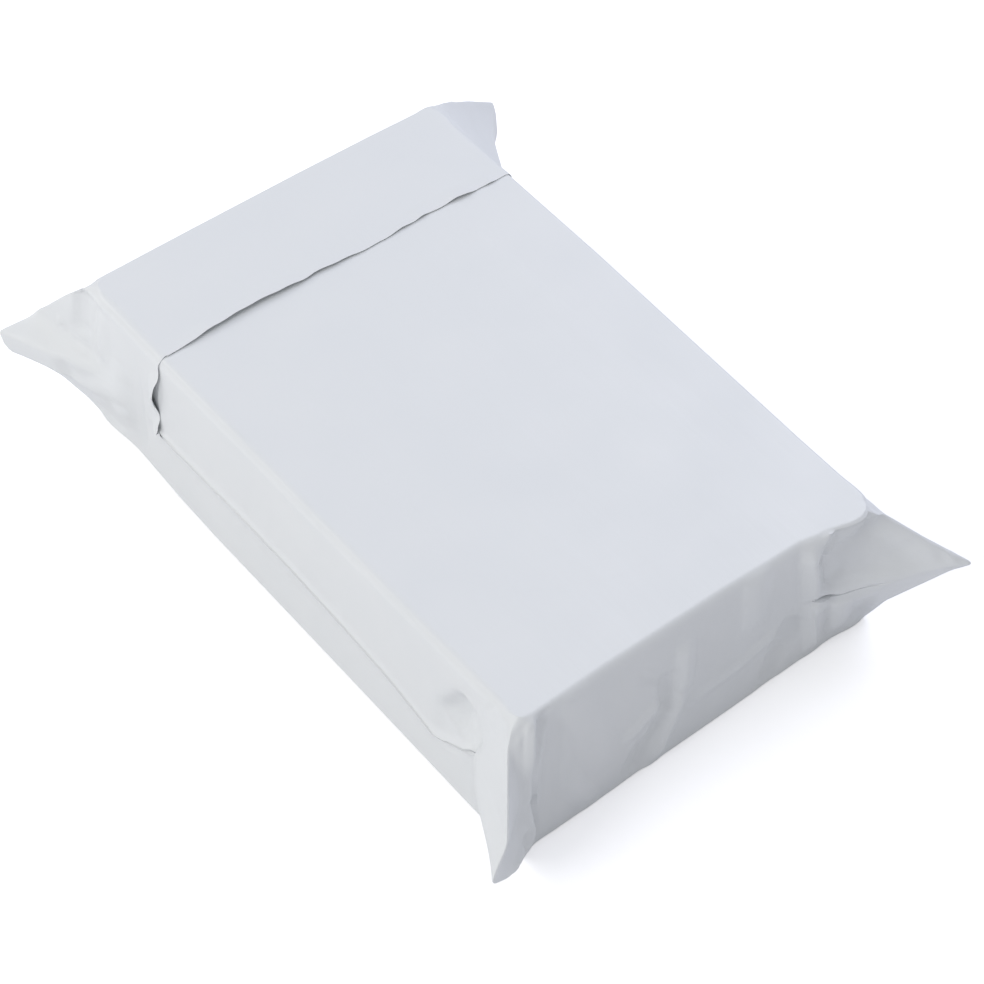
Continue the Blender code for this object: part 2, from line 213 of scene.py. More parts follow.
@dataclass
class Level:
    """One level outline of the bag."""

    band: Band
    at: float
    ground_radius: float
    top_radius: float
    body_height: float
    fin_width: float

    def height(self, weld: Any) -> Any:
        """The height where the weld's free edge is at the height weld."""
        low = self.ground_radius
        high = self.body_height - self.top_radius
        if self.band is Band.GROUND:
            return low * (1 - math.cos(self.at * math.pi / 2)) + 0 * weld
        if self.band is Band.LOW:
            return blend(low, weld - STEP, self.at)
        if self.band is Band.FIN:
            return weld + self.fin_width * self.at
        if self.band is Band.HIGH:
            return blend(weld + self.fin_width, high, self.at)
        return high + self.top_radius * math.sin(self.at * math.pi / 2) + 0 * weld

    @property
    def turn(self) -> float:
        """How far round the top edge the outline is, in radians."""
        return self.at * math.pi / 2 if self.band is Band.TOP else 0.0

    @property
    def above_weld(self) -> bool:
        """Whether the flap's edge is free at this level."""
        return self.band in (Band.FIN, Band.HIGH, Band.TOP)


@dataclass
class FilmPouch:
    """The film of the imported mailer, as one closed skin.

    Single sizes are in metres. The lists give, in millimetres, a place along
    the wall or the edge, and what is there: a height, a distance or a gap.
    """

    # The block, its rounded edges, and how far they draw the walls in.
    width: float = 0.196
    length: float = 0.311
    height: float = 0.0847
    ground_radius: float = 0.0012
    top_radius: float = 0.0050
    left_inset: float = 0.0042
    right_inset: float = 0.0022
    end_inset: float = 0.0030

    # The top's bulge, and how it falls off to the sides and to the ends.
    crown: float = 0.0012
    crown_depth: float = 0.012
    crown_across: int = 3
    crown_along: int = 5

    # The laid weld. fin_rim gives how far down and how far out the first levels
    # above it go, so that the upper film ends in a lit rim over a dark slit.
    fin_width: float = 0.0115
    fin_thickness: float = 0.0015
    fin_taper: float = 1.3
    fin_slot: float = 0.0010
    fin_rim: Knots = ((0, -1.5), (1.05, 1.2), (0.6, 0.2), (0, 0))
    fin_end: float = 0.110
    fin_start: float = 0.001
    fin_fade: float = 0.005
    fin_end_fade: float = 0.006

    # The flap's free edge: its film, the pocket under it, how it curls and
    # swells, and the small waves along it.
    flap_thickness: float = 0.00034
    flap_pocket: float = 0.0075
    flap_contact: float = 0.0001
    flap_curl: float = 1.35
    flap_swell: float = 0.35
    flap_wave: float = 0.00018
    flap_wave_rate: float = 420.0
    flap_clear: float = 0.0135
    lip_flat: float = 0.003

    # The ears: how full their bends are, how blunt their folds, where an ear
    # starts from the block's corner, and over how far it grows out of it.
    ear_handle: float = 0.36
    ear_blunt: float = 0.8
    ear_start: float = 0.003
    ear_growth: float = 0.012
    ear_even: float = 0.7

    near_left: Ear = Ear(-1, -1, 0.031, (
        Station(84.7, (-94.0, -149.5), -139, -88.5, 1.0, 1.0),
        Station(82.0, (-98.0, -151.0), -135, -90.5, 1.0, 1.0),
        Station(78.0, (-101.0, -152.5), -130, -91.5, 1.05, 0.9),
        Station(74.0, (-103.0, -154.5), -129, -91.8, 1.1, 0.8),
        Station(58.0, (-111.5, -165.0), -128.5, -92.3, 1.3, 0.8),
        Station(43.0, (-118.6, -173.8), -128.5, -92.8, 1.4, 0.6),
        Station(35.0, (-126.6, -176.6), -128.5, -93.2, 1.45, 0.6),
        Station(31.0, (-129.2, -177.6), -128.5, -93.2, 1.45, 0.6),
        Station(26.0, (-127.5, -176.6), -128.5, -93.2, 1.45, 0.8),
        Station(17.0, (-118.5, -173.0), -128.5, -93.0, 1.35, 1.5),
        Station(7.0, (-107.0, -167.0), -128.5, -92.4, 1.2, 1.5),
        Station(0.0, (-99.0, -159.0), -129, -91.5, 1.0, 1.0)), slack=0.0022, openness=0.75)
    near_right: Ear = Ear(1, -1, 0.049, (
        Station(84.7, (87.5, -156.5), -136, 64.0, 1.0, 0.6),
        Station(84.0, (89.0, -158.2), -135, 64.0, 1.0, 0.7),
        Station(82.5, (90.5, -159.2), -134, 64.0, 1.0, 0.8),
        Station(80.0, (93.0, -159.9), -132, 63.0, 1.0, 0.9),
        Station(77.5, (96.0, -159.2), -131, 62.0, 0.95, 0.7),
        Station(75.5, (98.2, -158.4), -130, 61.0, 0.9, 0.6),
        Station(62.0, (111.5, -172.0), -129, 60.0, 0.6, 0.35),
        Station(49.5, (126.2, -188.6), -127, 60.0, 0.5, 0.5),
        Station(44.0, (121.0, -182.5), -127, 62.0, 0.5, 0.9),
        Station(16.0, (103.5, -162.5), -130, 66.0, 0.8, 0.9),
        Station(3.0, (101.5, -156.5), -133, 76.0, 1.0, 1.0),
        Station(0.0, (99.0, -154.5), -133, 78.0, 1.0, 1.0)), openness=0.6)
    back_right: Ear = Ear(1, 1, 0.055, (
        Station(84.9, (94.0, 151.5), 136, 88.0, 1.0, 1.0),
        Station(80.0, (104.5, 154.8), 122, 80.0, 0.7, 0.9),
        Station(68.0, (122.5, 158.2), 110, 66.0, 0.8, 0.7),
        Station(55.0, (139.4, 161.6), 98, 64.0, 1.4, 0.7),
        Station(50.0, (139.0, 159.0), 98, 64.0, 1.4, 0.7),
        Station(42.0, (135.4, 153.2), 98, 66.0, 1.4, 0.8),
        Station(20.0, (115.0, 150.0), 104, 70.0, 1.0, 0.9),
        Station(0.0, (101.0, 152.0), 112, 74.0, 1.0, 1.0)), openness=0.7)
    back_left: Ear = Ear(-1, 1, 0.036, (
        Station(84.9, (-92.5, 153.5), 140, -84.0, 1.0, 1.0),
        Station(80.0, (-97.5, 160.0), 126, -78.0, 1.0, 1.0),
        Station(66.0, (-99.5, 173.0), 117, -68.0, 0.9, 1.0),
        Station(50.0, (-103.5, 186.5), 115, -66.0, 0.85, 1.0),
        Station(46.5, (-105.0, 190.0), 115, -66.0, 0.85, 1.0),
        Station(43.0, (-109.5, 191.5), 115, -66.0, 0.85, 0.9),
        Station(37.0, (-123.4, 198.0), 115, -66.0, 0.8, 0.8),
        Station(31.0, (-123.2, 195.5), 115, -66.0, 0.8, 0.8),
        Station(27.0, (-121.8, 192.3), 115, -66.0, 0.8, 0.8),
        Station(24.5, (-115.0, 184.0), 115, -66.0, 0.8, 0.8),
        Station(18.0, (-107.6, 172.5), 115, -68.0, 0.8, 0.8),
        Station(8.0, (-101.5, 161.5), 118, -72.0, 0.9, 0.9),
        Station(0.0, (-98.6, 155.8), 126, -78.0, 1.0, 1.0)), slack=0.0008, openness=0.5)

    # The heights of the welds and of the ears' middle folds, and how far the
    # film is drawn in under the near right ear's fold.
    left_weld: Knots = ((-170, 39), (-129, 39), (-125, 38.5), (-113, 31.8), (-104, 27.0), (-101.9, 25.9),
                        (-100, 26.6), (-85, 29.8), (-71, 32.7), (-36, 35.7), (4, 37.7), (40, 37.7),
                        (69, 36.7), (104, 35.2), (125, 35.2), (170, 37))
    right_weld: Knots = ((-170, 50), (-95, 55), (-15, 52), (62, 56), (170, 54))
    near_fold: Knots = ((-130, 31), (-98, 33), (-40, 35), (40, 37.5), (54, 40.0), (59, 45.2), (65, 44.4),
                        (75, 39.6), (90, 41.0), (107, 45.5), (118, 48), (127, 49))
    near_ledge: Knots = ((62.5, 0.0), (64, 2.0), (69, 2.0), (73, 0.4), (90, 0.2), (102, 0.0))
    ledge_depth: float = 0.012
    ledge_gap: float = -2.2
    end_reach: float = 0.004
    end_facing: float = 0.3
    back_fold: Knots = ((-98, 38), (98, 52))

    # The end walls' y at the top edge and at the foot, and how far the side
    # walls lean out at the foot or in at the top.
    near_top: Knots = ((-98, -154.6), (-90, -154.7), (-52, -153.8), (12, -154.0), (39, -154.9), (54, -155.1),
                       (64, -157.4), (75, -157.0), (98, -156.4))
    near_foot: Knots = ((-98, -159.0), (-86, -158.8), (-44, -158.0), (13, -157.1), (60, -155.9), (98, -155.0))
    back_top: Knots = ((-98, 158.2), (-85, 158.9), (-40, 158.6), (20, 157.8), (60, 156.8), (98, 155.2))
    back_foot: Knots = ((-98, 155.5), (98, 155.5))
    left_foot: Knots = ((-155, 3.2), (-129, 3.1), (-60, 2.9), (0, 2.8), (60, 2.8), (90, 2.2), (115, 1.0),
                        (140, 0.0))
    right_top: Knots = ((-155, 3.8), (-110, 3.7), (-42, 2.5), (29, 1.1), (93, 1.0), (155, 0.0))

    # The flap's free edge: its y across the top, then down the sides by the
    # distance below the edge, with the gap under it there, and the gaps on top.
    flap_top: Knots = ((-98, 98.6), (-86.4, 97.7), (-67.7, 98.2), (-46.4, 98.4), (-21.2, 96.8), (-14.4, 97.4),
                       (0.3, 96.3), (17, 95.2), (33.5, 95.7), (47.6, 96.1), (61, 95.7), (74.4, 94.7),
                       (98, 94.4))
    flap_side: Knots = ((0, 98.6, 0.2), (8, 98.6, 0.5), (12, 98.8, 1.2), (18, 100.4, 2.7), (24, 102.0, 3.2),
                        (30, 103.4, 2.6), (35, 104.2, 0.8), (37.5, 104.0, 0.1), (41.5, 103.8, 0.1),
                        (44, 105.2, 1.5), (48, 106.8, 2.0), (52, 108.2, 1.0), (54.5, 108.2, 0.1),
                        (60, 108.2, 0.1))
    flap_gaps: Knots = ((-98, 0.3), (-86, 0.5), (-80, 1.3), (-70, 2.2), (-50, 2.5), (-30, 2.3), (-18, 1.3),
                        (-8, 1.5), (4, 1.0), (14, 0.4), (26, 0.4), (35, 1.0), (41, 0.5), (46, 1.2),
                        (50, 0.4), (60, 0.4), (66, 1.7), (71, 1.5), (76, 0.3), (81, 0.25), (84.5, 0.9),
                        (88, 0.25), (93, 0.12), (98, 0.1))

    # How finely the skin is laid out.
    front_steps: int = 84
    lip_steps: int = 12
    lip_under: int = 6
    behind_steps: int = 18
    end_steps: int = 120
    ear_steps: int = 28
    ground_steps: int = 4
    low_steps: int = 24
    fin_steps: int = 10
    high_steps: int = 30
    round_steps: int = 7
    relax_steps: int = 240

    # The creases, how far a normal points up where they fade out, the spheres
    # where the film is smoothed, by centre and radius in millimetres, and the
    # angle in degrees from which a fold is drawn sharp.
    creases: list[Crease] = field(default_factory=list)
    top_facing: float = 0.35
    top_fade: float = 0.4
    eased: Knots = ((-99, -151, 79, 6),)
    ease_steps: int = 6
    knife_angle: float = 42.0

    @property
    def levels(self) -> list[Level]:
        """Every level outline, from the ground up."""
        sizes = (self.ground_radius, self.top_radius, self.height, self.fin_width)
        rows = [Level(Band.GROUND, step / self.ground_steps, *sizes) for step in range(self.ground_steps)]
        rows += [Level(Band.LOW, step / self.low_steps, *sizes) for step in range(self.low_steps + 1)]
        rows += [Level(Band.FIN, step / self.fin_steps, *sizes) for step in range(self.fin_steps + 1)]
        rows += [Level(Band.HIGH, step / self.high_steps, *sizes) for step in range(1, self.high_steps + 1)]
        rows += [Level(Band.TOP, step / self.round_steps, *sizes) for step in range(1, self.round_steps + 1)]
        return rows

    @property
    def ear_spacing(self) -> np.ndarray:
        """Shares of the way along one side of an ear, closest at its two ends."""
        even = np.linspace(0, 1, self.ear_steps + 1)[1:]
        return blend(even, smooth(even), self.ear_even)

    def weld_height(self, side_x: int, y: Any) -> Any:
        """The height of the weld's free edge along a side wall."""
        return along(self.left_weld if side_x < 0 else self.right_weld, y)

    def fold_height(self, side_y: int, x: Any) -> Any:
        """The height of the ears' middle fold along an end wall."""
        return along(self.near_fold if side_y < 0 else self.back_fold, x)

    def flap_edge(self, girth: Any) -> Any:
        """The y of the flap's free edge, at a distance round from the middle of the top."""
        over = np.maximum(0.0, np.abs(girth) - self.width / 2)
        down = along(self.flap_side, over) - self.flap_side[0][1] * MM
        wave = self.flap_wave * np.sin(girth * self.flap_wave_rate)
        return along(self.flap_top, girth) + down + wave

    def flap_gap(self, girth: Any) -> Any:
        """How far the flap's free edge stands off the film below it."""
        over = np.maximum(0.0, np.abs(girth) - self.width / 2)
        side = along(self.flap_side, over, 2)
        return np.where(over > 0, side, along(self.flap_gaps, girth))

    def end_place(self, side_y: int, x: Any, z: Any, level: Level) -> Any:
        """The y of an end wall at a place on it."""
        pulled = self.insets(level)[1]
        foot, top = (self.near_foot, self.near_top) if side_y < 0 else (self.back_foot, self.back_top)
        return blend(along(foot, x), along(top, x), z / self.height) - side_y * pulled

    def lip(self, girth: float, above_weld: bool) -> np.ndarray:
        """The flap's free edge in section.

        Args:
            girth: The distance round from the middle of the top.
            above_weld: Whether the flap's edge is free here.

        Returns:
            One row per point: how far along the bag it is from the edge, and
            how far off the film.
        """
        points = self.lip_steps + 1
        if not above_weld:
            return np.stack([np.linspace(-self.lip_flat, self.lip_flat, points), np.zeros(points)], 1)
        gap = float(self.flap_gap(girth))
        pocket, contact = self.flap_pocket, self.flap_contact
        inward = np.linspace(1, 0, self.lip_under)
        outward = np.linspace(0, 1, points - self.lip_under)
        opening = contact + (gap - contact) * (1 - inward) ** self.flap_curl
        under = np.where(inward == 1, 0.0, opening)
        over = (self.flap_thickness + gap * (1 - outward) ** self.flap_curl
                + self.flap_swell * gap * outward * (1 - outward))
        place = np.concatenate([pocket * inward, pocket * outward - contact * (1 - outward)])
        return np.stack([place, np.concatenate([under, over])], 1)

    def insets(self, level: Level) -> tuple[float, float, float]:
        """How far the rounded edges pull the left wall, an end and the right wall in."""
        if level.band is Band.GROUND:
            pulled = self.ground_radius * (1 - math.sin(level.at * math.pi / 2))
            return pulled, pulled, pulled
        pulled = 1 - math.cos(level.turn)
        return self.left_inset * pulled, self.end_inset * pulled, self.right_inset * pulled

    def side_place(self, side_x: int, level: Level, y: Any, z: Any) -> Any:
        """The x of a side wall at a place on it."""
        insets = self.insets(level)
        if side_x > 0:
            return self.width / 2 - insets[2] - along(self.right_top, y) * z / self.height
        lean = along(self.left_foot, y) * (1 - z / self.height)
        return insets[0] - self.width / 2 - lean

    def ear_half(self, ear: Ear, level: Level, wall: Wall) -> np.ndarray:
        """One side of an ear at a level, from beside its root out to its fold.

        Args:
            ear: The ear.
            level: The level outline.
            wall: Which wall the half springs from.

        Returns:
            The points in plan, without the root.
        """
        side = wall is Wall.SIDE
        z = float(level.height(ear.tip_height))
        here = ear.at(z)
        side_x = float(self.side_place(ear.side_x, level, here.side_root, z))
        side_root = np.array([side_x, here.side_root])
        end_root = np.array([here.end_root, float(self.end_place(ear.side_y, here.end_root, z, level))])
        root, other = (side_root, end_root) if side else (end_root, side_root)
        apex, axis, out = self.ear_fold(ear, level)
        beside = np.array([-axis[1], axis[0]])
        if beside @ (root - other) < 0:
            beside = -beside
        end = apex + beside * ear.thickness * out
        chord = end - root
        length = float(np.linalg.norm(chord))
        pull = here.side_pull if side else here.end_pull
        tangent = np.array([0.0, float(ear.side_y)]) if side else np.array([float(ear.side_x), 0.0])
        leave = unit(blend(tangent, chord / length, pull * out))
        plain = unit(root - other)
        fin = unit(blend(-axis, -chord / length, ear.openness))
        arrive = unit(blend(plain, fin, out))
        handle = length * self.ear_handle
        at = self.ear_spacing[:, None]
        back = 1 - at
        return (back ** 3 * root + 3 * back ** 2 * at * (root + leave * handle)
                + 3 * back * at ** 2 * (end + arrive * handle) + at ** 3 * end)

    def ear_fold(self, ear: Ear, level: Level) -> tuple[np.ndarray, np.ndarray, float]:
        """Where an ear's outer fold is at a level.

        Args:
            ear: The ear.
            level: The level outline.

        Returns:
            The place in plan, the direction from the body out to it, and how
            much of an ear there is: 0 is a plain corner.
        """
        place = np.array(ear.at(float(level.height(ear.tip_height))).fold)
        signs = np.array([ear.side_x, ear.side_y])
        reach = place - signs * (np.array([self.width, self.length]) / 2 - self.ear_start)
        grown = smooth(np.linalg.norm(reach) / self.ear_growth)
        axis = unit(blend(signs / math.sqrt(2), unit(reach), grown))
        out = float(smooth((reach @ axis) / self.ear_growth)) if reach @ signs > 0 else 0.0
        return place, axis, out

    def ear_ring(self, ear: Ear, level: Level) -> np.ndarray:
        """An ear's points at a level, from the side wall over its fold to the end wall.

        Args:
            ear: The ear.
            level: The level outline.

        Returns:
            The points.
        """
        from_side = self.ear_half(ear, level, Wall.SIDE)
        from_end = self.ear_half(ear, level, Wall.END)
        apex, axis, out = self.ear_fold(ear, level)
        apex = apex + axis * ear.thickness * self.ear_blunt * out
        plan = np.concatenate([from_side, apex[None], from_end[::-1]])
        at = self.ear_spacing
        here = ear.at(float(level.height(ear.tip_height)))
        side_weld = float(self.weld_height(ear.side_x, here.side_root))
        end_fold = float(self.fold_height(ear.side_y, here.end_root))
        end_path = blend(end_fold, ear.tip_height, smooth(at))
        if ear is self.near_right:
            # This fold shows, so its line is followed up to the ear's last quarter.
            end_path = blend(self.fold_height(-1, from_end[:, 0]), ear.tip_height, smooth(at * 4 - 3))
        side_path = blend(side_weld, ear.tip_height, smooth(at))
        welds = np.concatenate([side_path, [ear.tip_height], end_path[::-1]])
        return np.column_stack([plan, level.height(welds)])

    def side_row(self, side_x: int, level: Level) -> np.ndarray:
        """One side wall's points at a level, from the near end to the back.

        Args:
            side_x: -1 for the left wall and 1 for the right one.
            level: The level outline.

        Returns:
            The points.
        """
        near, back = (self.near_left, self.back_left) if side_x < 0 else (self.near_right, self.back_right)
        first = near.at(float(level.height(near.tip_height))).side_root
        last = back.at(float(level.height(back.tip_height))).side_root
        middle = float(level.height(self.weld_height(side_x, self.flap_top[0][1] * MM)))
        girth = side_x * (self.width / 2 + self.height - middle)
        edge = min(float(self.flap_edge(girth)), last - self.flap_clear)
        section = self.lip(girth, level.above_weld)
        front = np.linspace(first, edge + section[0, 0], self.front_steps + 1)[:-1]
        behind = np.linspace(edge + section[-1, 0], last, self.behind_steps + 1)[1:]
        fade = np.linspace(1, 0, self.behind_steps + 1)[1:]
        y = np.concatenate([front, edge + section[:, 0], behind])
        off = np.concatenate([0 * front, section[:, 1], section[-1, 1] * fade])
        ends = smooth(np.minimum(y - first + self.fin_start, last - y) / self.fin_fade)
        ends = ends * smooth((self.fin_end - y) / self.fin_end_fade)
        weld = self.weld_height(side_x, y)
        z = level.height(weld)
        if level.band is Band.LOW:
            fin = np.clip(1 - (weld - z) / self.fin_width, 0, 1) ** self.fin_taper
            off = off + self.fin_thickness * fin * ends
            z = z - (self.fin_slot * ends if level.at == 1 else 0)
        elif level.band is Band.FIN:
            down, out = self.fin_rim[min(round(level.at * self.fin_steps), len(self.fin_rim) - 1)]
            z = z - down * MM * ends
            off = off + out * MM * ends
        x = self.side_place(side_x, level, y, z) + side_x * off * math.cos(level.turn)
        z = z + off * math.sin(level.turn)
        return np.column_stack([x, y, z])

    def end_row(self, side_y: int, level: Level) -> np.ndarray:
        """One end wall's points at a level, from left to right."""
        left, right = (self.near_left, self.near_right) if side_y < 0 else (self.back_left, self.back_right)
        first = left.at(float(level.height(left.tip_height))).end_root
        last = right.at(float(level.height(right.tip_height))).end_root
        x = np.linspace(first, last, self.end_steps + 1)
        z = level.height(self.fold_height(side_y, x)) + 0 * x
        return np.column_stack([x, self.end_place(side_y, x, z, level), z])

    def outline(self, level: Level) -> np.ndarray:
        """A whole level outline, from the near left ear round by the near end."""
        return np.concatenate([
            self.ear_ring(self.near_left, level),
            self.end_row(-1, level),
            self.ear_ring(self.near_right, level)[::-1],
            self.side_row(1, level),
            self.ear_ring(self.back_right, level),
            self.end_row(1, level)[::-1],
            self.ear_ring(self.back_left, level)[::-1],
            self.side_row(-1, level)[::-1],
        ])

    def top_grid(self, ring: np.ndarray) -> tuple[np.ndarray, np.ndarray]:
        """The top panel between the four sides of the last outline.

        Args:
            ring: The last level outline.

        Returns:
            The panel's points by row and column, and the place in the ring of
            each one on the panel's edge (-1 inside it).
        """
        across = self.end_steps + 2 * (self.ear_steps + 1)
        length = self.front_steps + self.lip_steps + self.behind_steps + 2 * (self.ear_steps + 1)
        count = len(ring)
        start = self.ear_steps
        near_index = (start + np.arange(across + 1)) % count
        right_index = (start + across + np.arange(length + 1)) % count
        back_index = (start + 2 * across + length - np.arange(across + 1)) % count
        left_index = (start - np.arange(length + 1)) % count
        near, right, back, left = (ring[i] for i in (near_index, right_index, back_index, left_index))
        v = np.linspace(0, 1, length + 1)[:, None, None]
        u = np.linspace(0, 1, across + 1)[None, :, None]
        grid = (blend(near[None], back[None], v) + blend(left[:, None], right[:, None], u)
                - blend(blend(near[0], near[-1], u), blend(back[0], back[-1], u), v))
        plan = grid[..., :2]
        for _ in range(self.relax_steps):
            plan[1:-1, 1:-1] = (plan[:-2, 1:-1] + plan[2:, 1:-1] + plan[1:-1, :-2] + plan[1:-1, 2:]) / 4
        first_lip = self.ear_steps + 1 + self.front_steps
        last_lip = first_lip + self.lip_steps
        rows = np.arange(length + 1)
        for column in range(1, across):
            girth = grid[first_lip, column, 0]
            edge = float(self.flap_edge(girth))
            section = self.lip(girth, above_weld=True)
            front = slice(1, first_lip)
            lip = slice(first_lip, last_lip + 1)
            behind = slice(last_lip + 1, length)
            shift = edge + section[0, 0] - grid[first_lip, column, 1]
            grid[front, column, 1] += shift * smooth(rows[front] / first_lip)
            back_shift = edge + section[-1, 0] - grid[last_lip, column, 1]
            grid[lip, column, 1] = edge + section[:, 0]
            fade = 1 - (rows[behind] - last_lip) / (length - last_lip)
            grid[behind, column, 1] += back_shift * fade
            off = np.zeros(length + 1)
            off[lip] = section[:, 1]
            off[behind] = section[-1, 1] * fade
            grid[1:length, column, 2] = self.height + off[1:length]
        index = np.full((length + 1, across + 1), -1)
        index[0], index[-1] = near_index, back_index
        index[:, 0], index[:, -1] = left_index, right_index
        return grid, index

    def skin(self) -> tuple[np.ndarray, list[tuple[int, ...]]]:
        """The whole closed skin before it is creased.

        Returns:
            The points, and the faces as tuples of their places.
        """
        rings = [self.outline(level) for level in self.levels]
        count = len(rings[0])
        points = [np.concatenate(rings)]
        faces: list[tuple[int, ...]] = []
        for level in range(len(rings) - 1):
            low, high = level * count, (level + 1) * count
            for step in range(count):
                after = (step + 1) % count
                faces.append((low + step, low + after, high + after, high + step))
        grid, index = self.top_grid(rings[-1])
        inside = index < 0
        index[~inside] += (len(rings) - 1) * count
        index[inside] = len(rings) * count + np.arange(inside.sum())
        points.append(grid[inside])
        for row in range(index.shape[0] - 1):
            for column in range(index.shape[1] - 1):
                faces.append((index[row, column], index[row, column + 1],
                              index[row + 1, column + 1], index[row + 1, column]))
        faces.append(tuple(range(count))[::-1])
        return self.crowned(np.concatenate(points)), faces

    def crowned(self, points: np.ndarray) -> np.ndarray:
        """The points with the top lifted in its middle."""
        across = np.clip(np.abs(points[:, 0]) / (self.width / 2), 0, 1)
        along_bag = np.clip(np.abs(points[:, 1]) / (self.length / 2), 0, 1)
        near_top = smooth((points[:, 2] - self.height + self.crown_depth) / self.crown_depth)
        lift = self.crown * (1 - across ** self.crown_across) * (1 - along_bag ** self.crown_along) * near_top
        return points + lift[:, None] * np.array([0.0, 0.0, 1.0])

    def pocket(self, points: np.ndarray, normals: np.ndarray) -> np.ndarray:
        """How far the film is drawn in under the near right ear's middle fold.

        Args:
            points: The skin's points.
            normals: Their normals.

        Returns:
            The distance out for each point, which is below 0 in the pocket.
        """
        above = points[:, 2] - self.fold_height(-1, points[:, 0])
        mouth = np.where(above < 1.5 * STEP, self.ledge_gap, 0.0)
        depth = np.where(above < -STEP / 2, smooth(1 + above / self.ledge_depth), mouth)
        on_end = (points[:, 1] < self.end_reach - self.length / 2) & (normals[:, 1] < -self.end_facing)
        return np.where(on_end, along(self.near_ledge, points[:, 0]) * depth, 0)

    def pressed(self, points: np.ndarray, normals: np.ndarray) -> np.ndarray:
        """Presses every crease in along the skin's normals.

        Args:
            points: The skin's points.
            normals: Their normals.

        Returns:
            The points where they are then. Those on top stay, but for rims.
        """
        wall = 1 - smooth((normals[:, 2] - self.top_facing) / self.top_fade)
        off = self.pocket(points, normals)
        for crease in self.creases:
            off += crease.lift(points) * (1.0 if crease.rim else wall)
        return points + normals * off[:, None]

    def ease(self, mesh: bpy.types.Mesh) -> None:
        """Smooths the film where folds run into each other."""
        shape = bmesh.new()
        shape.from_mesh(mesh)
        for x, y, z, radius in self.eased:
            centre = Vector((x, y, z)) * MM
            close = [vert for vert in shape.verts if (vert.co - centre).length < radius * MM]
            for _ in range(self.ease_steps):
                bmesh.ops.smooth_vert(shape, verts=close, factor=0.5, use_axis_x=True, use_axis_y=True,
                                      use_axis_z=True)
        shape.to_mesh(mesh)
        shape.free()

    def build(self) -> bpy.types.Object:
        """Builds the pouch's skin as a mesh object."""
        points, faces = self.skin()
        mesh = bpy.data.meshes.new("film_pouch")
        mesh.from_pydata(points.tolist(), [], faces)
        shape = bmesh.new()
        shape.from_mesh(mesh)
        bmesh.ops.recalc_face_normals(shape, faces=shape.faces)
        bottom = [face for face in shape.faces if len(face.verts) > 4]
        bmesh.ops.triangulate(shape, faces=bottom)
        shape.to_mesh(mesh)
        shape.free()
        normals = np.array([vert.normal for vert in mesh.vertices])
        places = self.pressed(np.array([vert.co for vert in mesh.vertices]), normals)
        mesh.vertices.foreach_set("co", places.astype(np.float32).ravel())
        self.ease(mesh)
        mesh.shade_smooth()
        mesh.set_sharp_from_angle(angle=math.radians(self.knife_angle))
        mesh.update()
        pouch = bpy.data.objects.new("film_pouch", mesh)
        bpy.context.scene.collection.objects.link(pouch)
        return pouch


# The near end wall, from the pleat beside the left ear to the one beside the right.
NEAR_END_CREASES = (
    Crease((-91, -155, 80), (-99, -160, 8), 11, 2.4, 0.2),
    Crease((-90, -155, 83), (-99, -157, 55), 4.5, 2.4, 1.0),
    Crease((-99, -157, 57), (-100, -158, 40), 4.5, 2.4, 1.0),
    Crease((-100, -157, 42), (-97, -160, 5), 4.5, 2.4, 1.0),
    Crease((-84.5, -154, 85), (-94, -158, 50), 5, -2.8, 0.7),
    Crease((-94, -158, 50), (-93, -158, 5), 5, -2.8, 0.7),
    Crease((-80, -155, 84), (-88, -158, 6), 9, -1.6, 0.3),
    Crease((-97, -157, 32), (-90, -157, 30), 3.5, -1.5, 0.6),
    Crease((-68, -155, 78), (-52, -157, 18), 12, 1.6, 0.6),
    Crease((-74, -157, 31), (-61, -158, 3), 8, 1.8, 0.8),
    Crease((-8, -155, 70), (-9, -156, 37), 7, 2.7, 0.9),
    Crease((-9, -156, 39), (-27, -157, 2), 7, 3.1, 0.9),
    Crease((-17, -155, 56), (-19, -156, 29), 7, -2.0, 0.6),
    Crease((-19, -156, 31), (-35, -158, 2), 7, -2.2, 0.6),
    Crease((-43, -156, 28), (-21, -156, 41), 6, 1.9, 0.85),
    Crease((-30, -157, 22), (-42, -158, 4), 6, -1.5, 0.6),
    Crease((-34, -155, 65), (-18, -155, 50), 4, -0.9, 0.8),
    Crease((-7, -156, 26), (21, -156, 28), 5, 1.3, 0.85),
    Crease((17, -156, 27), (46, -156, 36), 5, 1.9, 0.9),
    Crease((30, -154, 84), (31, -155, 46), 10, 2.0, 0.7),
    Crease((56, -156, 36), (46, -156, 20), 11, -2.6, 0.5),
    Crease((46, -156, 21), (41, -156, 3), 9, -2.0, 0.6),
    Crease((59, -156, 82), (63, -157, 42), 8, 3.9, 0.95),
    Crease((63, -157, 44), (67, -156, 4), 8, 3.6, 0.95),
    Crease((65, -157, 74), (68, -159, 44), 4, -1.6, 0.6),
    Crease((68, -158, 38), (71, -157, 8), 4, -1.4, 0.6),
    Crease((71, -157, 72), (74, -160, 48), 8, -1.6, 0.4),
    Crease((67, -155, 87), (69, -157, 68), 5, 1.8, 0.9),
    Crease((72, -157, 82), (62, -157, 68), 4.5, -1.8, 0.6),
)
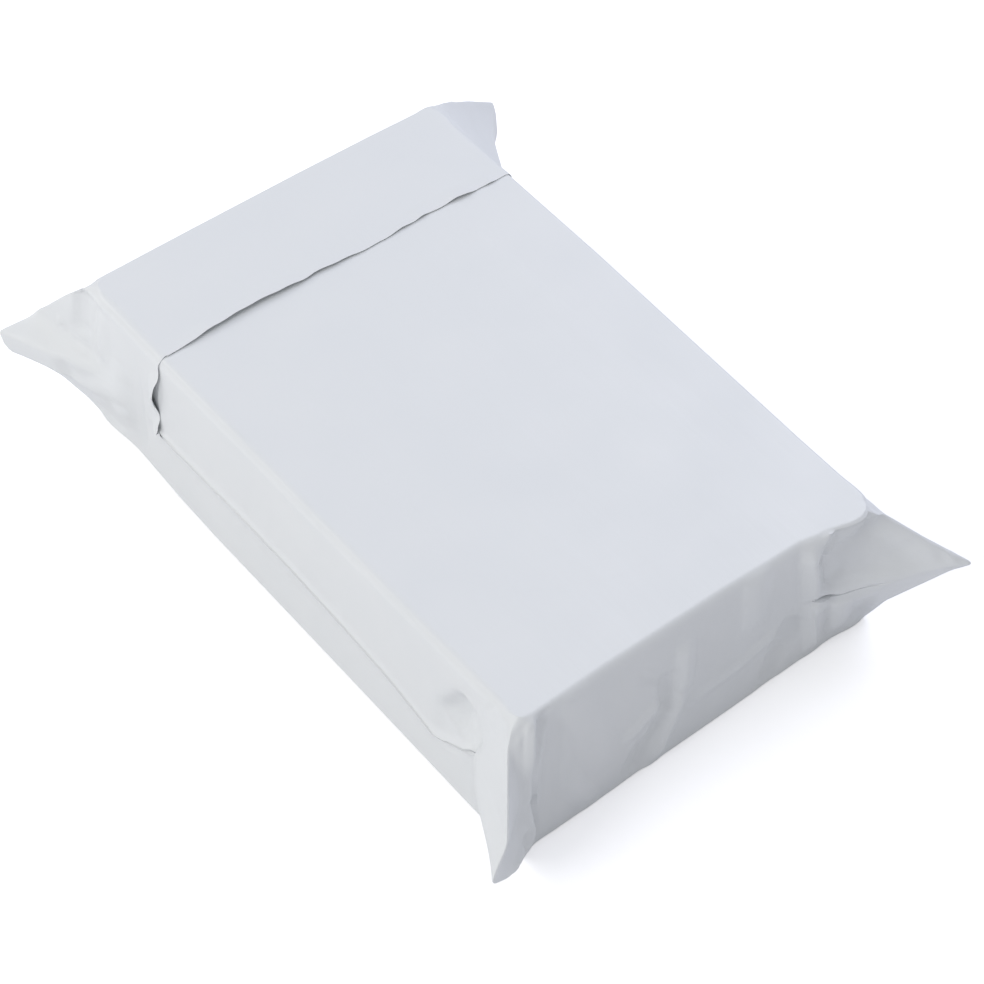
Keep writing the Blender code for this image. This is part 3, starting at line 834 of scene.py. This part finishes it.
# The near right ear: the folds round its open pocket, then its soft face.
NEAR_RIGHT_CREASES = (
    Crease((60, -158, 43), (74, -161, 38.5), 2.6, -2.4, 0.8),
    Crease((72, -161, 38.5), (90, -167, 40), 2.4, -1.4, 0.8),
    Crease((63, -159, 46), (79, -163, 43), 4.5, 1.0, 0.6),
    Crease((76, -163, 43), (99, -172, 45), 5, 0.9, 0.6),
    Crease((86, -163, 34), (93, -157, 5), 7, -2.0, 0.4),
    Crease((76, -159, 38), (80, -157, 8), 8, 1.8, 0.6),
    Crease((90, -158, 78), (80, -161, 50), 10, -0.9, 0.4),
    Crease((104, -168, 63), (108, -176, 42), 9, -0.7, 0.3),
    Crease((93, -159, 74), (116, -181, 53), 6, 0.8, 0.5),
    Crease((84, -164, 47), (108, -178, 45), 6, 0.6, 0.5),
    Crease((118, -181, 56), (121, -185, 47), 3, 0.9, 0.7),
    Crease((114, -179, 57), (117, -181, 50), 3, -0.6, 0.6),
    Crease((90, -152, 85), (97, -159, 78), 3.0, -0.6, 0.7, rim=True),
    Crease((90, -158, 80), (89, -158, 72), 4, -1.6, 0.5),
)
# The left wall by the near left ear: the deep dent first, then the folds to the weld.
NEAR_LEFT_CREASES = (
    Crease((-99, -128, 65), (-100, -115, 42), 15, -5.5, 0.2),
    Crease((-101, -101, 28), (-101, -111, 30), 3, 0.9, 0.8),
    Crease((-101, -110, 30), (-101, -125, 38), 3, 0.9, 0.8),
    Crease((-101, -104, 24), (-101, -124, 34), 4, -0.8, 0.5),
    Crease((-98, -127, 77), (-100, -127, 40), 7, 0.7, 0.5),
    Crease((-99, -100, 58), (-101, -101, 31), 6, 0.6, 0.5),
    Crease((-97, -136, 82), (-99, -149, 76), 7, -0.9, 0.4),
    Crease((-101, -153, 77), (-94, -154, 83), 3, -1.2, 0.7),
    Crease((-103, -165, 17), (-110, -169, 13), 4.5, 1.8, 0.7),
    Crease((-100, -163, 23), (-104, -165, 8), 4, -2.4, 0.6),
)
# Both back ears, and the crisp edge of the top along the left side.
BACK_CREASES = (
    Crease((-103, 176, 52), (-105, 174, 39), 3.5, 1.6, 0.85),
    Crease((-109, 173, 37), (-103, 160, 42), 4, 1.6, 0.8),
    Crease((-107, 167, 38), (-110, 158, 27), 7, -2.6, 0.6),
    Crease((-107, 167, 38), (-113, 171, 34), 3, 1.4, 0.8),
    Crease((-98, 157, 81), (-101, 159, 48), 11, -2.6, 0.3),
    Crease((-101, 159, 50), (-106, 146, 31), 11, -2.2, 0.3),
    Crease((-99, 133, 56), (-101, 129, 14), 9, 1.7, 0.5),
    Crease((-98, 146, 76), (-101, 148, 44), 8, 1.2, 0.5),
    Crease((-105, 141, 25), (-101, 128, 32), 4, -1.3, 0.6),
    Crease((-112, 186, 40), (-106, 180, 47), 4, -1.2, 0.6),
    Crease((100, 152, 82), (107, 134, 71), 4, -1.3, 0.6),
    Crease((122, 158, 69), (116, 139, 61), 6, 1.0, 0.6),
    Crease((112, 158, 78), (107, 146, 72), 4, 0.9, 0.6),
    Crease((-97, 150, 84.5), (-97, -125, 84.5), 2.4, 0.45, 0.6, rim=True),
)


def creases() -> list[Crease]:
    """Every crease of the film that the photograph shows."""
    return [*NEAR_END_CREASES, *NEAR_RIGHT_CREASES, *NEAR_LEFT_CREASES, *BACK_CREASES]


def linear(hex_colour: str) -> tuple[float, float, float, float]:
    """Turns an sRGB hex value into the linear colour that a shader takes."""
    values = [int(hex_colour[place:place + 2], 16) / 255 for place in (1, 3, 5)]
    flat = [v / 12.92 if v <= 0.04045 else ((v + 0.055) / 1.055) ** 2.4 for v in values]
    return (flat[0], flat[1], flat[2], 1.0)


def add_node(tree: bpy.types.NodeTree, kind: str, settings: dict[str, Any] | None = None,
             **links: Any) -> bpy.types.Node:
    """Adds a node with its settings and its links.

    Args:
        tree: The node tree.
        kind: The node's type.
        settings: Property names, or input names, with their values.
        links: Input names, with spaces as underscores, with the sockets that feed them.

    Returns:
        The node.
    """
    node = tree.nodes.new(kind)
    for name, value in (settings or {}).items():
        if name in node.inputs:
            node.inputs[name].default_value = value
        else:
            setattr(node, name, value)
    for name, socket in links.items():
        tree.links.new(socket, node.inputs[name.replace("_", " ")])
    return node


# Where a mix node of the colour kind has its two colours and its result.
MIX_FIRST = 6
MIX_SECOND = 7
MIX_RESULT = 2


@dataclass(frozen=True)
class CoExtrudedFilm:
    """White polyethylene mailer film, blown in two layers.

    Blown film has a satin face, so its lights are wide and soft. Faint bands
    run in the machine's direction, which is the bag's length, and its grain is
    very fine. It is a little cloudy, in wide patches. The grain is under 0.1 mm
    in the real film and is drawn coarser, so that it shows.
    """

    colour: str = "#DEE0E1"
    cloud_colour: str = "#D8DBDD"
    ior: float = 1.51
    roughness: float = 0.42
    smoother: float = 0.05
    rougher: float = 0.06
    grain_mm: float = 0.9
    grain_height_mm: float = 0.08
    grain_strength: float = 0.10
    band_mm: float = 7.0
    band_stretch: float = 0.12
    band_height_mm: float = 0.5
    band_strength: float = 0.35
    cloud_mm: float = 45.0

    def build(self) -> bpy.types.Material:
        """Builds the film's material."""
        material = bpy.data.materials.new("co_extruded_film")
        material.use_nodes = True
        tree = material.node_tree
        shader = tree.nodes["Principled BSDF"]
        shader.inputs["IOR"].default_value = self.ior
        shader.inputs["Specular IOR Level"].default_value = 0.5
        place = add_node(tree, "ShaderNodeTexCoord").outputs["Object"]
        clouds = add_node(tree, "ShaderNodeTexNoise", {"Scale": 1 / (self.cloud_mm * MM), "Detail": 3.0},
                          Vector=place)
        tint = add_node(tree, "ShaderNodeMix", {"data_type": "RGBA"})
        tint.inputs[MIX_FIRST].default_value = linear(self.colour)
        tint.inputs[MIX_SECOND].default_value = linear(self.cloud_colour)
        tree.links.new(clouds.outputs["Fac"], tint.inputs[0])
        tree.links.new(tint.outputs[MIX_RESULT], shader.inputs["Base Color"])
        sheen = add_node(tree, "ShaderNodeMapRange",
                         {"From Min": 0.3, "From Max": 0.7, "To Min": self.roughness - self.smoother,
                          "To Max": self.roughness + self.rougher}, Value=clouds.outputs["Fac"])
        tree.links.new(sheen.outputs["Result"], shader.inputs["Roughness"])
        grain = add_node(tree, "ShaderNodeTexNoise", {"Scale": 1 / (self.grain_mm * MM), "Detail": 2.0},
                         Vector=place)
        stretch = add_node(tree, "ShaderNodeMapping", {"Scale": (1.0, self.band_stretch, 1.0)},
                           Vector=place)
        bands = add_node(tree, "ShaderNodeTexNoise", {"Scale": 1 / (self.band_mm * MM), "Detail": 4.0},
                         Vector=stretch.outputs["Vector"])
        fine = add_node(tree, "ShaderNodeBump",
                        {"Strength": self.grain_strength, "Distance": self.grain_height_mm * MM},
                        Height=grain.outputs["Fac"])
        broad = add_node(tree, "ShaderNodeBump",
                         {"Strength": self.band_strength, "Distance": self.band_height_mm * MM},
                         Height=bands.outputs["Fac"], Normal=fine.outputs["Normal"])
        tree.links.new(broad.outputs["Normal"], shader.inputs["Normal"])
        return material


@dataclass(frozen=True)
class MattPaper:
    """White backdrop paper. Its loose fibres scatter the light, so it has no gloss.

    It gives off a little light to the camera alone, which makes it white there
    and leaves the bag's shadow on it.
    """

    colour: str = "#EDEDEF"
    roughness: float = 0.9
    lift: float = 0.38

    def build(self) -> bpy.types.Material:
        """Builds the paper's material."""
        material = bpy.data.materials.new("matt_white_paper")
        material.use_nodes = True
        tree = material.node_tree
        matt = tree.nodes["Principled BSDF"]
        matt.inputs["Base Color"].default_value = linear(self.colour)
        matt.inputs["Roughness"].default_value = self.roughness
        matt.inputs["Specular IOR Level"].default_value = 0.0
        ray = add_node(tree, "ShaderNodeLightPath")
        lift = add_node(tree, "ShaderNodeMath", {"operation": "MULTIPLY"})
        tree.links.new(ray.outputs["Is Camera Ray"], lift.inputs[0])
        lift.inputs[1].default_value = self.lift
        matt.inputs["Emission Color"].default_value = (1, 1, 1, 1)
        tree.links.new(lift.outputs[0], matt.inputs["Emission Strength"])
        return material


@dataclass(frozen=True)
class Softbox:
    """One square soft light that faces the bag: its place, its side, its watts and its colour."""

    name: str
    place: tuple[float, float, float]
    side: float
    watts: float
    colour: str
    aim: tuple[float, float, float] = (0, 0, 0.04)

    def build(self) -> bpy.types.Object:
        """Hangs the light."""
        data = bpy.data.lights.new(self.name, "AREA")
        data.size = self.side
        data.energy = self.watts
        data.color = linear(self.colour)[:3]
        lamp = bpy.data.objects.new(self.name, data)
        lamp.location = self.place
        lamp.rotation_euler = (Vector(self.aim) - Vector(self.place)).to_track_quat("-Z", "Y").to_euler()
        bpy.context.scene.collection.objects.link(lamp)
        return lamp


@dataclass
class Studio:
    """The pale floor, the soft lights and the camera, which was fitted to the photograph.

    down is how steeply the camera looks, and round_by how far it is turned from
    the near end, both in degrees. It looks at target from distance, in metres.
    """

    floor_size: float = 12.0
    floor_drop: float = 0.0003
    sky_colour: str = "#F6F7FB"
    sky_strength: float = 0.55
    softboxes: tuple[Softbox, ...] = (
        Softbox("left_softbox", (-2.3, -0.05, 1.5), 1.0, 24.0, "#FFFEFB"),
        Softbox("back_left_softbox", (-1.1, 1.3, 1.1), 0.7, 6.5, "#FFFEFB"),
        Softbox("right_softbox", (2.2, 0.6, 1.9), 2.2, 44.0, "#E9EDFF"),
    )
    focal_pixels: float = 3200.0
    picture_pixels: float = 984.0
    sensor: float = 36.0
    down: float = 50.0
    round_by: float = 38.37
    target: tuple[float, float, float] = (-0.0009, -0.0152, 0.0294)
    distance: float = 1.4318
    clip_end: float = 50.0

    def floor(self) -> bpy.types.Object:
        """Lays the floor, a little under the bag so that the two don't share a plane."""
        bpy.ops.mesh.primitive_plane_add(size=self.floor_size, location=(0, 0, -self.floor_drop))
        floor = bpy.context.object
        floor.name = "studio_floor"
        floor.data.materials.append(MattPaper().build())
        return floor

    def world(self) -> None:
        """Sets an even pale sky, which is white to the camera."""
        world = bpy.data.worlds.new("studio_world")
        bpy.context.scene.world = world
        world.use_nodes = True
        tree = world.node_tree
        tree.nodes.clear()
        sky = add_node(tree, "ShaderNodeBackground",
                       {"Color": linear(self.sky_colour), "Strength": self.sky_strength})
        white = add_node(tree, "ShaderNodeBackground", {"Color": (1, 1, 1, 1), "Strength": 1.0})
        ray = add_node(tree, "ShaderNodeLightPath")
        mixed = add_node(tree, "ShaderNodeMixShader")
        tree.links.new(ray.outputs["Is Camera Ray"], mixed.inputs[0])
        tree.links.new(sky.outputs[0], mixed.inputs[1])
        tree.links.new(white.outputs[0], mixed.inputs[2])
        out = add_node(tree, "ShaderNodeOutputWorld")
        tree.links.new(mixed.outputs[0], out.inputs["Surface"])

    def camera(self) -> bpy.types.Object:
        """Sets the camera at the photograph's place."""
        data = bpy.data.cameras.new("camera")
        data.sensor_width = self.sensor
        data.lens = self.focal_pixels / self.picture_pixels * self.sensor
        data.clip_end = self.clip_end
        down, turned = math.radians(self.down), math.radians(self.round_by)
        look = Vector((math.cos(down) * math.sin(turned), math.cos(down) * math.cos(turned), -math.sin(down)))
        across = Vector((math.cos(turned), -math.sin(turned), 0.0))
        rise = across.cross(look)
        place = Matrix((across, rise, -look)).transposed().to_4x4()
        place.translation = Vector(self.target) - look * self.distance
        camera = bpy.data.objects.new("camera", data)
        camera.matrix_world = place
        bpy.context.scene.collection.objects.link(camera)
        bpy.context.scene.camera = camera
        return camera

    def build(self) -> None:
        """Sets the whole studio up."""
        self.floor()
        self.world()
        for softbox in self.softboxes:
            softbox.build()
        self.camera()
        bpy.context.scene.view_settings.view_transform = "Standard"


def main() -> None:
    """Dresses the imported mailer."""
    logging.basicConfig(level=logging.INFO, format="%(name)s: %(message)s")
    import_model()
    bpy.ops.object.select_all(action="DESELECT")

    pouch = FilmPouch(creases=creases())
    film = pouch.build()
    film.data.materials.append(CoExtrudedFilm().build())
    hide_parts("mailer_bag")
    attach(film, "root")
    LOG.info("film_pouch: %d faces", len(film.data.polygons))

    Studio().build()


if __name__ == "__main__":
    main()
